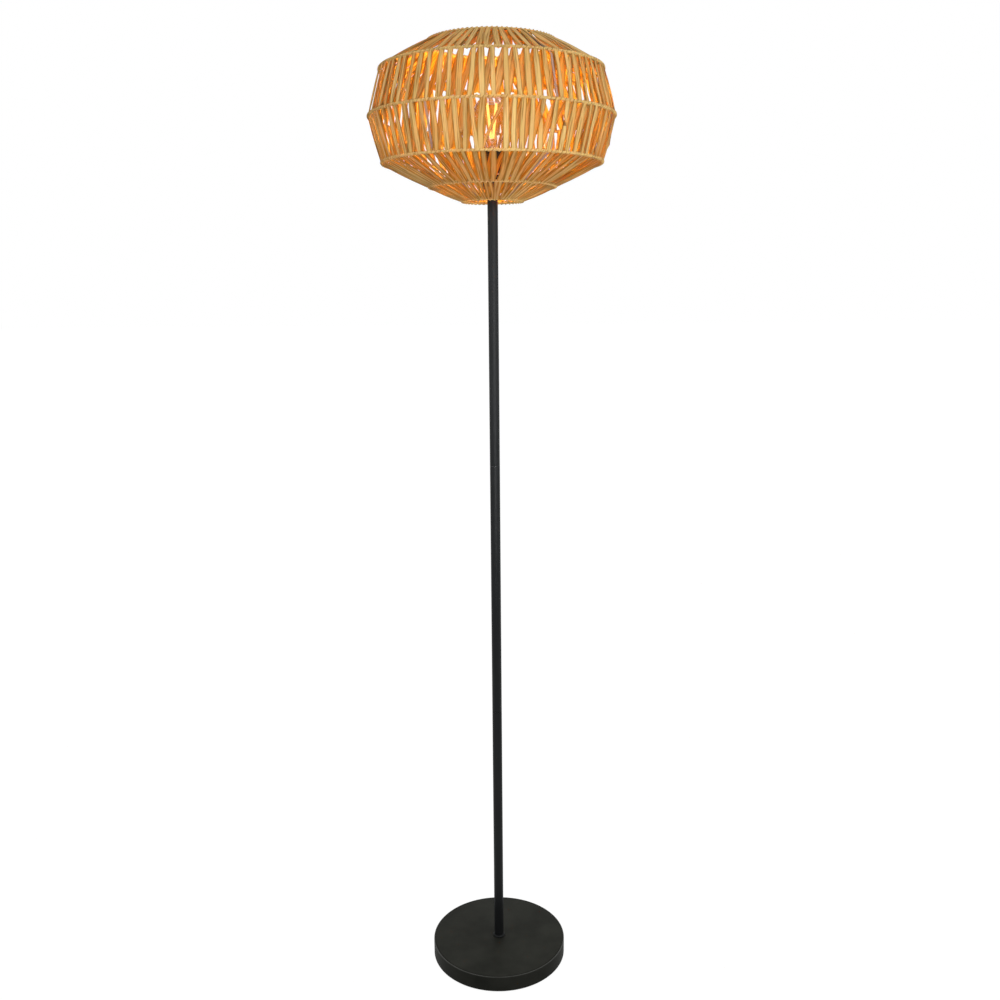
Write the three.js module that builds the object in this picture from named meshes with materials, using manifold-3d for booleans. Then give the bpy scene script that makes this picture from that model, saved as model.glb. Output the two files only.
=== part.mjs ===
// A floor lamp: a round weighted base, a pole in three screwed sections, and a wound openwork shade
// round a clear filament bulb. Millimetres, Z up. The origin is on the floor under the middle of the
// base, and the front of the lamp faces -Y.

import * as THREE from "three";
import { mergeVertices } from "three/addons/utils/BufferGeometryUtils.js";
import Module from "manifold-3d";

const wasm = await Module();
wasm.setup();

// Clearances between pieces
const seatGap = 0.3; // between a piece and the face that it rests on
const fitGap = 0.15; // round a piece that is pressed or screwed into another
const turnGap = 0.5; // round a piece that another one turns on
const cutOverrun = 2; // how far a cutter runs past the faces that it cuts

// Base
const baseDiameter = 244;
const baseHeight = 31; // floor to the top face of the cover
const padThickness = 2;
const padInset = 4; // from the cover's side in to the pad's edge
const coverWall = 1.2;
const coverEdgeRadius = 2.5;
const coverRimWidth = 9; // how far the rolled rim reaches in under the weight
const wellDiameter = 48; // the hollow in the middle of the weight
const nippleDiameter = 10;
const nippleBore = 7.2;
const baseNippleReach = 18; // into the pole's foot
const baseNippleTail = 0.8; // below the lock nut
const washerDiameter = 34;
const washerThickness = 1.5;
const lockNutFlats = 17;
const lockNutThickness = 3;
const collarDiameter = 21.5;
const collarHeight = 3.7;
const collarEdge = 0.9; // bevel round the collar's top

// Cord inlet and flex
const gripFlangeDiameter = 12.5;
const gripFlangeThickness = 1.6;
const gripNeckDiameter = 9;
const gripBore = 6.2;
const gripRecess = 2.5; // from the grip's outer face in to the end of the flex
const flexWidth = 5.4;
const flexThickness = 3.2;

// Pole
const poleDiameter = 17;
const poleWall = 1;
const poleSectionLength = 446.3;
const insertLength = 22;
const studReach = 15; // how far a stud screws down into the section below

// Lampholder
const holderNippleReach = 13; // up into the cap and down into the pole, each
const capFootDiameter = 23;
const capHeight = 24;
const capFloor = 4;
const capRimWidth = 4.5; // the ledge that carries the terminal block
const holderDiameter = 39;
const holderWall = 2;
const holderFlangeDiameter = 45;
const holderFlangeThickness = 3;
const skirtHeight = 42.7;
const skirtLipThickness = 2.5;
const skirtMouthDiameter = 28.6;
const blockThickness = 10;
const terminalSpacing = 23; // between the two terminal screws
const terminalScrewDiameter = 3;
const terminalHeadDiameter = 5.5;
const terminalHeadThickness = 2;
const terminalScrewLength = 7;
const blockBore = 4;
const shellBore = 26.9;
const shellWall = 0.5;
const shellHeight = 26;
const shellFloorHole = 15;
const contactThickness = 0.6;
const contactWidth = 5;
const contactFoot = 4.5; // flat length that lies on the block
const contactReach = 5.5; // sloping length, measured level
const contactRise = 4.4;

// Bulb
const tipDiameter = 9;
const tipHeight = 1.5;
const insulatorDiameter = 22;
const insulatorHeight = 3.4;
const bulbCapDiameter = 26.1;
const bulbCapWall = 0.5;
const bulbCapHeight = 21.5;
const bulbCapFoot = 2.2; // bevel at the foot of the screw cap
const glassDiameter = 60;
const glassHeight = 94;
const glassWall = 0.8;
const glassNeckDepth = 10; // how much of the neck stands inside the screw cap
const stemHeight = 27;
const stemFlareHeight = 2;
const stemDiameter = 5.2;
const filamentDiameter = 2;
const filamentLength = 54;
const filamentFootSpread = 4.5; // across opposite filaments, at their feet
const filamentHeadSpread = 21; // and at their heads
const crownWireDiameter = 1;

// Shade
const ringWireDiameter = 3;
const ribWireDiameter = 3.5;
const armWireDiameter = 4;
const mouthDiameter = 203; // centres of the top ring's wire, and of the fifth ring's
const shoulderDiameter = 352; // second and fourth rings
const bellyDiameter = 390; // third ring, the widest
const bottomDiameter = 96.4; // sixth ring, round the pole
const topBandRise = 40.5;
const bellyBandRise = 69.7; // each of the two upright bands
const lowerBandRise = 36;
const bottomBandRise = 22.3;
const armDrop = 17.7; // from the fitter down to the fifth ring
const fitterWidth = 8; // of the flat ring, from its hole to its edge
const fitterThickness = 2;
const ringNutWidth = 4.6;
const ringNutHeight = 9;
const ringNutFluteDepth = 0.9;
const strandThickness = 1;

// Counts, names, angles and shares
const sectionNames = ["lower", "middle", "upper"];
const ribCount = 6;
const armCount = 3;
const armRing = 4; // index of the ring whose crossing with a rib each arm runs to
const filamentCount = 4;
const ringNutFlutes = 14;
const stepsPerFlute = 3;
const turnsPerRib = 8; // turns of strand between two ribs
const ribAngleGap = THREE.MathUtils.degToRad(2.6); // extra room in the winding at each rib
const strandWidthShare = 0.4; // of the space that one turn has on its ring
const roundSides = 24;
const insertSides = 16;
const smallSides = 12;
const wireSides = 6;
const nutSides = 6;
const ringSides = 42;
const baseSides = 48;
const edgeSteps = 3;
const bendSteps = 6;

// Outline of the bulb's glass, from the top down: shares of its radius and of its height
const glassOutlineShares = [
  [0, 1],
  [0.3, 0.988],
  [0.58, 0.944],
  [0.82, 0.865],
  [0.96, 0.77],
  [1, 0.672],
  [0.95, 0.56],
  [0.8, 0.43],
  [0.6, 0.3],
  [0.45, 0.19],
  [0.408, 0.1],
  [0.408, 0],
];

// Outline of the holder's cap, from the foot up: shares of the way from the foot's radius to the
// skirt's, and of the cap's height
const capOutlineShares = [
  [0, 0],
  [0.1, 0.2],
  [0.55, 0.5],
  [0.9, 0.75],
  [1, 1],
];

// Levels, from the floor up
const rimBottom = padThickness + seatGap;
const rimTop = rimBottom + coverWall;
const coverCeiling = baseHeight - coverWall;
const washerTop = coverCeiling - seatGap;
const lockNutTop = washerTop - washerThickness - seatGap;
const baseNippleBottom = lockNutTop - lockNutThickness - baseNippleTail;
const inletHeight = rimTop + seatGap + gripFlangeDiameter / 2;
const collarBottom = baseHeight + seatGap;
const poleBottom = collarBottom + collarHeight + seatGap;
const sectionPitch = poleSectionLength + seatGap;
const poleTop = poleBottom + (sectionNames.length - 1) * sectionPitch + poleSectionLength;
const capBottom = poleTop + seatGap;
const skirtBottom = capBottom + capHeight + seatGap;
const flangeTop = skirtBottom + holderFlangeThickness;
const blockTop = skirtBottom + blockThickness;
const shellBottom = blockTop + seatGap;
const contactTop = blockTop + seatGap + contactRise + contactThickness;
const tipBottom = contactTop + seatGap;
const insulatorBottom = tipBottom + tipHeight + seatGap;
const bulbCapBottom = insulatorBottom + insulatorHeight + seatGap;
const glassBottom = bulbCapBottom + bulbCapHeight - glassNeckDepth;
const fitterBottom = flangeTop + seatGap;
const ringNutBottom = fitterBottom + fitterThickness + seatGap;
const fitterMiddle = fitterBottom + fitterThickness / 2;

// Radii that more than one piece follows
const baseRadius = baseDiameter / 2;
const rimRadius = baseRadius - coverRimWidth;
const nippleRadius = nippleDiameter / 2;
const nippleHole = nippleRadius + fitGap;
const poleInside = poleDiameter / 2 - poleWall;
const holderRadius = holderDiameter / 2;
const holderInside = holderRadius - holderWall;
const aroundSkirt = holderRadius + turnGap; // the hole in each piece that turns on the skirt
const fitterRadius = aroundSkirt + fitterWidth;
const glassRadius = glassDiameter / 2;
const neckShare = glassOutlineShares.at(-1)[0];

// The shade's wire rings, from the top down: the radius and height of each wire's centre
const fifthRing = fitterMiddle - armDrop;
const fourthRing = fifthRing + lowerBandRise;
const rings = [
  { radius: mouthDiameter / 2, height: fourthRing + 2 * bellyBandRise + topBandRise },
  { radius: shoulderDiameter / 2, height: fourthRing + 2 * bellyBandRise },
  { radius: bellyDiameter / 2, height: fourthRing + bellyBandRise },
  { radius: shoulderDiameter / 2, height: fourthRing },
  { radius: mouthDiameter / 2, height: fifthRing },
  { radius: bottomDiameter / 2, height: fifthRing - bottomBandRise },
];

// How far each layer lies from the surface through the rings' centres
const ringWireRadius = ringWireDiameter / 2;
const ribWireRadius = ribWireDiameter / 2;
const armWireRadius = armWireDiameter / 2;
const ribDepth = ringWireRadius + seatGap + ribWireRadius;
const wrapReach = ringWireRadius + seatGap + strandThickness / 2;
const innerLayerDepth = ribDepth + ribWireRadius + seatGap + strandThickness / 2;

// Materials, with the colours seen in the photograph
const finish = (color, roughness, metalness = 0) => ({ color, roughness, metalness });
const blackSteel = finish(0x2c2d2b, 0.5, 0.3);
const satinBlack = finish(0x232422, 0.45, 0.3);
const bareSteel = finish(0x9a9c9e, 0.4, 0.9);
const brassFinish = finish(0xb58d3d, 0.35, 0.9);
const frameWire = finish(0x8d8790, 0.5, 0.6);
const strandFinish = finish(0xcfa766, 0.8);
const blackPlastic = finish(0x1b1b1a, 0.5);
const padFoam = finish(0x1a1a1a, 0.95);
const castBlock = finish(0x8a8983, 0.9);
const whiteCeramic = finish(0xe6e2d8, 0.35);
const flexCover = finish(0x1d1d1d, 0.6);
const clearGlass = finish(0xf2efe6, 0.05);
const nickel = finish(0xc9c6bd, 0.3, 0.9);
const glowing = finish(0xffd27a, 0.6);

const lamp = new THREE.Group();

function add(group, name, geometry, look) {
  const mesh = new THREE.Mesh(geometry, new THREE.MeshStandardMaterial(look));
  mesh.name = name;
  group.add(mesh);
  return mesh;
}

function addGroup(height) {
  const group = new THREE.Group();
  group.position.z = height;
  lamp.add(group);
  return group;
}

// A body turned round the Z axis from an outline of [radius, height] points. The outline closes on
// itself, or starts and ends on the axis.
function turned(outline, sides) {
  const points = outline.map(([radius, height]) => new THREE.Vector2(radius, height));
  if (outline[0][0] !== 0) points.push(points[0].clone());
  if (THREE.ShapeUtils.area(points) < 0) points.reverse();
  return new THREE.LatheGeometry(points, sides).rotateX(Math.PI / 2);
}

// A round tube or ring that stands on its own zero level.
function sleeve(inside, outside, height, sides = roundSides) {
  const outline = [[inside, 0], [outside, 0], [outside, height], [inside, height]];
  return turned(outline, sides);
}

function disc(radius, height, sides = roundSides) {
  return turned([[0, 0], [radius, 0], [radius, height], [0, height]], sides);
}

// Points of a quarter round from angle start, with its centre at [radius, height].
function quarterRound(radius, height, size, start, steps = edgeSteps) {
  return Array.from({ length: steps + 1 }, (_, i) => {
    const angle = start + (i / steps) * (Math.PI / 2);
    return [radius + size * Math.cos(angle), height + size * Math.sin(angle)];
  });
}

// A path that stops at exactly the points it is given, so that straight runs take one step each.
class PointPath extends THREE.Curve {
  constructor(points) {
    super();
    this.points = points;
  }

  getPointAt(share) {
    return this.points[Math.round(share * (this.points.length - 1))].clone();
  }

  getTangentAt(share) {
    const i = Math.round(share * (this.points.length - 1));
    const before = this.points[Math.max(i - 1, 0)];
    const here = this.points[i];
    const after = this.points[Math.min(i + 1, this.points.length - 1)];
    const incoming = here.clone().sub(before).normalize();
    const outgoing = after.clone().sub(here).normalize();
    return incoming.add(outgoing).normalize();
  }
}

// A closed bar of the given section along a row of points.
function barAlong(points, section) {
  const extrudePath = new PointPath(points);
  return new THREE.ExtrudeGeometry(section, { steps: points.length - 1, extrudePath });
}

function roundSection(radius, sides = wireSides) {
  const corners = Array.from({ length: sides }, (_, i) => {
    const angle = ((i + 1 / 2) / sides) * 2 * Math.PI;
    return new THREE.Vector2(radius * Math.cos(angle), radius * Math.sin(angle));
  });
  return new THREE.Shape(corners);
}

// A geometry as a solid that can be cut or joined, and the way back.
function asSolid(geometry) {
  const bare = geometry.index ? geometry.toNonIndexed() : geometry.clone();
  bare.deleteAttribute("normal");
  bare.deleteAttribute("uv");
  const merged = mergeVertices(bare);
  const triVerts = new Uint32Array(merged.index.array);
  const vertProperties = merged.attributes.position.array;
  return new wasm.Manifold(new wasm.Mesh({ numProp: 3, vertProperties, triVerts }));
}

function asGeometry(solid) {
  const mesh = solid.getMesh();
  const geometry = new THREE.BufferGeometry();
  geometry.setAttribute("position", new THREE.BufferAttribute(mesh.vertProperties, 3));
  geometry.setIndex(new THREE.BufferAttribute(mesh.triVerts, 1));
  return geometry;
}

function cut(geometry, ...cutters) {
  return asGeometry(cutters.reduce((left, c) => left.subtract(asSolid(c)), asSolid(geometry)));
}

// Foam pad under the whole base, flat on the floor.
function footPad() {
  return disc(baseRadius - padInset, padThickness, baseSides);
}

// Pressed shell with a rounded top edge and a rim rolled in under the weight.
function baseCover() {
  const edgeRadiusAt = baseRadius - coverEdgeRadius;
  const edgeHeightAt = baseHeight - coverEdgeRadius;
  const outline = [
    [nippleHole, baseHeight],
    ...quarterRound(edgeRadiusAt, edgeHeightAt, coverEdgeRadius, 0).reverse(),
    [baseRadius, rimBottom],
    [rimRadius, rimBottom],
    [rimRadius, rimTop],
    [baseRadius - coverWall, rimTop],
    ...quarterRound(edgeRadiusAt, edgeHeightAt, coverEdgeRadius - coverWall, 0),
    [nippleHole, coverCeiling],
  ];
  const hole = new THREE.CylinderGeometry(
    gripNeckDiameter / 2 + fitGap,
    gripNeckDiameter / 2 + fitGap,
    2 * (coverWall + cutOverrun),
    roundSides,
  );
  hole.translate(0, baseRadius - coverWall, inletHeight);
  return cut(turned(outline, baseSides), hole);
}

// Cast block poured flush with the rim, with a well in the middle and a channel back to the inlet.
function baseWeight() {
  const top = coverCeiling - seatGap;
  const radius = baseRadius - coverWall - seatGap;
  const wellRadius = wellDiameter / 2;
  const outline = [
    [wellRadius, rimBottom],
    [rimRadius - seatGap, rimBottom],
    [rimRadius - seatGap, rimTop + seatGap],
    [radius, rimTop + seatGap],
    [radius, top - coverEdgeRadius],
    [radius - coverEdgeRadius, top],
    [wellRadius, top],
  ];
  const channelWidth = gripFlangeDiameter + 2 * seatGap;
  const channelTop = inletHeight + channelWidth / 2;
  const channelStart = wellRadius - cutOverrun;
  const channelEnd = baseRadius;
  const channelFoot = rimBottom - cutOverrun;
  const channel = new THREE.BoxGeometry(
    channelWidth,
    channelEnd - channelStart,
    channelTop - channelFoot,
  );
  channel.translate(0, (channelStart + channelEnd) / 2, (channelTop + channelFoot) / 2);
  return cut(turned(outline, baseSides), channel);
}

// Where the cord grip's flanges face the cover's wall, from the lamp's axis out
const gripInnerFace = (baseRadius - coverWall) * Math.cos(Math.PI / baseSides) - seatGap;
const gripOuterFace = baseRadius + seatGap;

// Bush that snaps into the cover's back, with a flange on each side of the wall.
function cordGrip() {
  const flange = gripFlangeDiameter / 2;
  const neck = gripNeckDiameter / 2;
  const bore = gripBore / 2;
  const outline = [
    [bore, gripInnerFace - gripFlangeThickness],
    [flange, gripInnerFace - gripFlangeThickness],
    [flange, gripInnerFace],
    [neck, gripInnerFace],
    [neck, gripOuterFace],
    [flange, gripOuterFace],
    [neck, gripOuterFace + gripFlangeThickness],
    [bore, gripOuterFace + gripFlangeThickness],
  ];
  return turned(outline, roundSides).rotateX(-Math.PI / 2);
}

// Flat twin flex from the grip through the base and pole to the holder. It lies flat where it bends.
function flex() {
  const start = gripOuterFace + gripFlangeThickness - gripRecess;
  const bend = baseNippleBottom - inletHeight;
  const arc = quarterRound(bend, bend, bend, Math.PI, bendSteps);
  const points = [
    new THREE.Vector3(0, start, inletHeight),
    ...arc.reverse().map(([along, up]) => new THREE.Vector3(0, along, inletHeight + up)),
    new THREE.Vector3(0, 0, skirtBottom - seatGap),
  ];
  const half = flexWidth / 2;
  const thin = flexThickness / 2;
  const shoulder = half - thin;
  const corners = [[thin, shoulder], [shoulder / 2, half], [-shoulder / 2, half], [-thin, shoulder]];
  const mirrored = corners.map(([x, y]) => [-x, -y]);
  const outline = [...corners, ...mirrored].map(([x, y]) => new THREE.Vector2(x, y));
  return barAlong(points, new THREE.Shape(outline));
}

function lockNut() {
  const cornerRadius = lockNutFlats / 2 / Math.cos(Math.PI / nutSides);
  const outline = roundSection(cornerRadius, nutSides);
  outline.holes.push(roundSection(nippleHole, roundSides));
  return new THREE.ExtrudeGeometry(outline, { depth: lockNutThickness, bevelEnabled: false });
}

function footCollar() {
  const outside = collarDiameter / 2;
  const outline = [
    [nippleHole, 0],
    [outside, 0],
    [outside, collarHeight - collarEdge],
    [outside - collarEdge, collarHeight],
    [nippleHole, collarHeight],
  ];
  return turned(outline, roundSides);
}

function makeBase() {
  const base = addGroup(0);
  add(base, "foot_pad", footPad(), padFoam);
  add(base, "base_cover", baseCover(), satinBlack);
  add(base, "base_weight", baseWeight(), castBlock);
  add(base, "cord_grip", cordGrip(), blackPlastic).position.z = inletHeight;
  const washer = sleeve(nippleHole, washerDiameter / 2, washerThickness);
  add(base, "base_washer", washer, bareSteel).position.z = washerTop - washerThickness;
  add(base, "base_lock_nut", lockNut(), bareSteel).position.z = lockNutTop - lockNutThickness;
  const nippleLength = poleBottom + baseNippleReach - baseNippleBottom;
  const nipple = sleeve(nippleBore / 2, nippleRadius, nippleLength, insertSides);
  add(base, "base_nipple", nipple, bareSteel).position.z = baseNippleBottom;
  add(base, "foot_collar", footCollar(), blackSteel).position.z = collarBottom;
  add(base, "flex", flex(), flexCover);
}

// Three tube sections that screw together: each joint has a threaded socket in the end below and a
// stud in the end above.
function makePole() {
  const pole = addGroup(poleBottom);
  const insertRadius = poleInside - fitGap;
  const tube = () => sleeve(poleInside, poleDiameter / 2, poleSectionLength);
  const insert = () => sleeve(nippleHole, insertRadius, insertLength, insertSides);
  const studOutline = [
    [nippleBore / 2, -studReach],
    [nippleRadius, -studReach],
    [nippleRadius, 0],
    [insertRadius, 0],
    [insertRadius, insertLength],
    [nippleBore / 2, insertLength],
  ];
  sectionNames.forEach((place, i) => {
    const section = new THREE.Group();
    section.position.z = i * sectionPitch;
    pole.add(section);
    add(section, "pole_" + place, tube(), blackSteel);
    if (i === 0) add(section, "foot_insert", insert(), bareSteel);
    else add(section, "joint_stud_" + place, turned(studOutline, insertSides), bareSteel);
    const head = i < sectionNames.length - 1 ? "joint_socket_" + place : "top_insert";
    add(section, head, insert(), bareSteel).position.z = poleSectionLength - insertLength;
  });
}

// Dome over the wiring, with a floor that the nipple screws into and a ledge for the block.
function holderCap() {
  const foot = capFootDiameter / 2;
  const outer = capOutlineShares.map(([out, up]) => [
    foot + out * (holderRadius - foot),
    up * capHeight,
  ]);
  const inner = outer
    .slice(1, -1)
    .map(([radius, height]) => [radius - holderWall, Math.max(height, capFloor)])
    .reverse();
  const outline = [
    [nippleHole, 0],
    ...outer,
    [holderRadius - capRimWidth, capHeight],
    ...inner,
    [nippleHole, capFloor],
  ];
  return turned(outline, roundSides);
}

// Threaded sleeve that closes the holder, with the flange that carries the shade.
function holderSkirt() {
  const flange = holderFlangeDiameter / 2;
  const mouth = skirtMouthDiameter / 2;
  const lip = skirtHeight - skirtLipThickness;
  const outline = [
    [holderInside, 0],
    [flange, 0],
    [flange, holderFlangeThickness],
    [holderRadius, holderFlangeThickness],
    [holderRadius, skirtHeight],
    [mouth, skirtHeight],
    [mouth, lip],
    [holderInside, lip],
  ];
  return turned(outline, roundSides);
}

function terminalBlock() {
  const body = sleeve(blockBore / 2, holderInside - fitGap, blockThickness);
  const holes = [-1, 1].map((side) => {
    const radius = terminalScrewDiameter / 2 + fitGap;
    const hole = disc(radius, blockThickness + 2 * cutOverrun, smallSides);
    return hole.translate((side * terminalSpacing) / 2, 0, -cutOverrun);
  });
  return cut(body, ...holes);
}

function terminalScrew() {
  const head = terminalHeadDiameter / 2;
  const shank = terminalScrewDiameter / 2;
  const foot = -seatGap - terminalHeadThickness;
  const outline = [
    [0, foot],
    [head, foot],
    [head, -seatGap],
    [shank, -seatGap],
    [shank, terminalScrewLength],
    [0, terminalScrewLength],
  ];
  return turned(outline, smallSides);
}

function screwShell() {
  const inside = shellBore / 2;
  const outside = inside + shellWall;
  const hole = shellFloorHole / 2;
  const outline = [
    [hole, 0],
    [outside, 0],
    [outside, shellHeight],
    [inside, shellHeight],
    [inside, shellWall],
    [hole, shellWall],
  ];
  return turned(outline, roundSides);
}

// Sprung leaf that lies on the block and rises to the bulb's tip.
function centreContact() {
  const start = -(contactFoot + contactReach) / 2;
  const knee = start + contactFoot;
  const end = knee + contactReach;
  const outline = [
    [start, 0],
    [knee, 0],
    [end, contactRise],
    [end, contactRise + contactThickness],
    [knee, contactThickness],
    [start, contactThickness],
  ].map(([x, y]) => new THREE.Vector2(x, y));
  const leaf = new THREE.ExtrudeGeometry(new THREE.Shape(outline), {
    depth: contactWidth,
    bevelEnabled: false,
  });
  return leaf.translate(0, 0, -contactWidth / 2).rotateX(Math.PI / 2);
}

// Fluted nut that screws down the skirt and clamps the fitter on the flange.
function ringNut() {
  const outside = aroundSkirt + ringNutWidth;
  const steps = ringNutFlutes * stepsPerFlute;
  const corners = Array.from({ length: steps }, (_, i) => {
    const angle = (i / steps) * 2 * Math.PI;
    const radius = i % stepsPerFlute === 0 ? outside - ringNutFluteDepth : outside;
    return new THREE.Vector2(radius * Math.cos(angle), radius * Math.sin(angle));
  });
  const outline = new THREE.Shape(corners);
  outline.holes.push(roundSection(aroundSkirt, roundSides));
  return new THREE.ExtrudeGeometry(outline, { depth: ringNutHeight, bevelEnabled: false });
}

function makeHolder() {
  const holder = addGroup(skirtBottom);
  const nipple = sleeve(nippleBore / 2, nippleRadius, 2 * holderNippleReach, insertSides);
  add(lamp, "holder_nipple", nipple, bareSteel).position.z = capBottom - holderNippleReach;
  add(lamp, "holder_cap", holderCap(), blackPlastic).position.z = capBottom;
  add(holder, "holder_skirt", holderSkirt(), blackPlastic);
  add(holder, "terminal_block", terminalBlock(), whiteCeramic);
  for (const [name, side] of [["left", -1], ["right", 1]]) {
    const screw = add(holder, "terminal_screw_" + name, terminalScrew(), brassFinish);
    screw.position.x = (side * terminalSpacing) / 2;
  }
  add(lamp, "screw_shell", screwShell(), brassFinish).position.z = shellBottom;
  add(lamp, "centre_contact", centreContact(), brassFinish).position.z = shellBottom;
  add(lamp, "shade_ring_nut", ringNut(), blackPlastic).position.z = ringNutBottom;
}

function bulbTip() {
  const radius = tipDiameter / 2;
  const outline = [
    [0, 0],
    [radius / 2, 0],
    [radius, tipHeight / 2],
    [radius, tipHeight],
    [0, tipHeight],
  ];
  return turned(outline, smallSides);
}

function bulbInsulator() {
  const outline = [
    [0, 0],
    [tipDiameter / 2, 0],
    [insulatorDiameter / 2, insulatorHeight],
    [0, insulatorHeight],
  ];
  return turned(outline, roundSides);
}

function bulbCap() {
  const outside = bulbCapDiameter / 2;
  const inside = outside - bulbCapWall;
  const foot = outside - bulbCapFoot;
  const outline = [
    [foot - bulbCapWall, 0],
    [foot, 0],
    [outside, bulbCapFoot],
    [outside, bulbCapHeight],
    [inside, bulbCapHeight],
    [inside, bulbCapFoot],
  ];
  return turned(outline, roundSides);
}

// Glass envelope, open at its neck.
function bulbGlass() {
  const outer = glassOutlineShares.map(([out, up]) => [out * glassRadius, up * glassHeight]);
  const inner = glassOutlineShares.map(([out, up]) => [
    Math.max(out * glassRadius - glassWall, 0),
    up * (glassHeight - glassWall),
  ]);
  return turned([...outer, ...inner.reverse()], roundSides);
}

// Flared glass stem in the neck, which carries the filaments.
function bulbStem() {
  const flare = neckShare * glassRadius - glassWall - fitGap;
  const radius = stemDiameter / 2;
  const outline = [
    [0, 0],
    [flare, 0],
    [flare, stemFlareHeight],
    [radius, (stemHeight + stemFlareHeight) / 2],
    [radius, stemHeight],
    [0, stemHeight],
  ];
  return turned(outline, smallSides);
}

function makeBulb() {
  const bulb = addGroup(tipBottom);
  const level = (height) => height - tipBottom;
  add(bulb, "bulb_tip", bulbTip(), nickel);
  add(bulb, "bulb_insulator", bulbInsulator(), blackPlastic).position.z = level(insulatorBottom);
  add(bulb, "bulb_cap", bulbCap(), nickel).position.z = level(bulbCapBottom);
  add(bulb, "bulb_glass", bulbGlass(), clearGlass).position.z = level(glassBottom);
  const stemBottom = level(glassBottom) + seatGap;
  add(bulb, "bulb_stem", bulbStem(), clearGlass).position.z = stemBottom;
  const lean = Math.asin((filamentHeadSpread - filamentFootSpread) / 2 / filamentLength);
  const footClearance = seatGap + (filamentDiameter / 2) * Math.sin(lean);
  const footLevel = stemBottom + stemHeight + footClearance;
  const headLevel = footLevel + filamentLength * Math.cos(lean);
  for (let i = 0; i < filamentCount; i++) {
    const turn = new THREE.Group();
    turn.position.z = (footLevel + headLevel) / 2;
    turn.rotation.z = ((i + 1 / 2) / filamentCount) * 2 * Math.PI;
    bulb.add(turn);
    const stick = new THREE.CylinderGeometry(
      filamentDiameter / 2,
      filamentDiameter / 2,
      filamentLength,
      wireSides,
    );
    const filament = add(turn, "filament_" + (i + 1), stick.rotateX(Math.PI / 2), glowing);
    filament.position.x = (filamentFootSpread + filamentHeadSpread) / 4;
    filament.rotation.y = lean;
  }
  const crownRadius = filamentHeadSpread / 2;
  const crownLevel = headLevel + footClearance + crownWireDiameter / 2;
  const crown = new THREE.TorusGeometry(crownRadius, crownWireDiameter / 2, wireSides, roundSides);
  add(bulb, "filament_crown", crown, nickel).position.z = crownLevel;
}

// Angle of each turn of strand round the shade. The turns are spread evenly between the ribs, with
// extra room at each rib. A turn passes over its upper ring half a turn on from its lower ring, so
// that strands of two bands lie side by side on the ring that they share.
const ribPitch = (2 * Math.PI) / ribCount;
const turnPitch = (ribPitch - ribAngleGap) / turnsPerRib;

function turnAngle(turn, onUpperRing) {
  const sector = Math.floor(turn / turnsPerRib);
  const step = (turn % turnsPerRib) + (onUpperRing ? 3 / 4 : 1 / 4);
  return sector * ribPitch + ribAngleGap / 2 + step * turnPitch;
}

// A point beside a band: along is measured from a ring along the band, depth inwards from the
// surface through the rings' centres.
function besideBand(ring, upwards, along, depth) {
  const radius = ring.radius + upwards.x * along - upwards.y * depth;
  const height = ring.height + upwards.y * along + upwards.x * depth;
  return new THREE.Vector2(radius, height);
}

function bandDirection(upper, lower) {
  return new THREE.Vector2(upper.radius - lower.radius, upper.height - lower.height).normalize();
}

// The strand's section: each corner's side and face. It is flat towards the rings, with a ridge
// along its outer face.
const strandSection = [[-1, -1], [1, -1], [0, 1]];

// One band of the shade: a flat strand wound up outside and down inside round two neighbouring
// rings, all the way round and back to its start.
function winding(band) {
  const upper = rings[band];
  const lower = rings[band + 1];
  const upwards = bandDirection(upper, lower);
  const inwards = new THREE.Vector2(-upwards.y, upwards.x);
  const corners = [
    { ring: lower, along: -wrapReach, depth: -wrapReach, out: [-1, -1], turnOn: 0 },
    { ring: upper, along: wrapReach, depth: -wrapReach, out: [1, -1], turnOn: 0 },
    { ring: upper, along: wrapReach, depth: innerLayerDepth, out: [1, 1], turnOn: 0 },
    { ring: lower, along: -wrapReach, depth: innerLayerDepth, out: [-1, 1], turnOn: 1 },
  ];
  const turns = ribCount * turnsPerRib;
  const positions = [];
  for (let turn = 0; turn < turns; turn++) {
    for (const { ring, along, depth, out, turnOn } of corners) {
      const angle = turnAngle(turn + turnOn, ring === upper);
      const centre = besideBand(ring, upwards, along, depth);
      const halfWidth = (strandWidthShare * turnPitch * ring.radius) / 2;
      const outwards = upwards.clone().multiplyScalar(out[0]).addScaledVector(inwards, out[1]);
      for (const [side, face] of strandSection) {
        const at = centre.clone().addScaledVector(outwards, (face * strandThickness) / 2);
        positions.push(
          at.x * Math.cos(angle) - side * halfWidth * Math.sin(angle),
          at.x * Math.sin(angle) + side * halfWidth * Math.cos(angle),
          at.y,
        );
      }
    }
  }
  return loopOfSections(positions, strandSection.length);
}

// A closed body through sections of the given number of corners, whose last meets its first.
function loopOfSections(positions, corners) {
  const total = positions.length / 3;
  const faces = [];
  for (let first = 0; first < total; first += corners) {
    const second = (first + corners) % total;
    for (let i = 0; i < corners; i++) {
      const next = (i + 1) % corners;
      faces.push(first + i, second + next, first + next, first + i, second + i, second + next);
    }
  }
  const geometry = new THREE.BufferGeometry();
  geometry.setAttribute("position", new THREE.Float32BufferAttribute(positions, 3));
  geometry.setIndex(faces);
  return geometry;
}

// Where a rib's centre passes each ring: on the line that halves the bend, just inside the ring.
function ribPoints() {
  const directions = rings.slice(1).map((lower, i) => bandDirection(rings[i], lower));
  return rings.map((ring, i) => {
    const above = directions[Math.max(i - 1, 0)];
    const below = directions[Math.min(i, directions.length - 1)];
    const middle = above.clone().add(below).normalize();
    const at = besideBand(ring, middle, 0, ribDepth / middle.dot(above));
    return new THREE.Vector3(at.x, 0, at.y);
  });
}

// Bent wire just inside the rings, from the top ring down to the bottom one.
function rib() {
  return barAlong(ribPoints(), roundSection(ribWireRadius));
}

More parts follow.
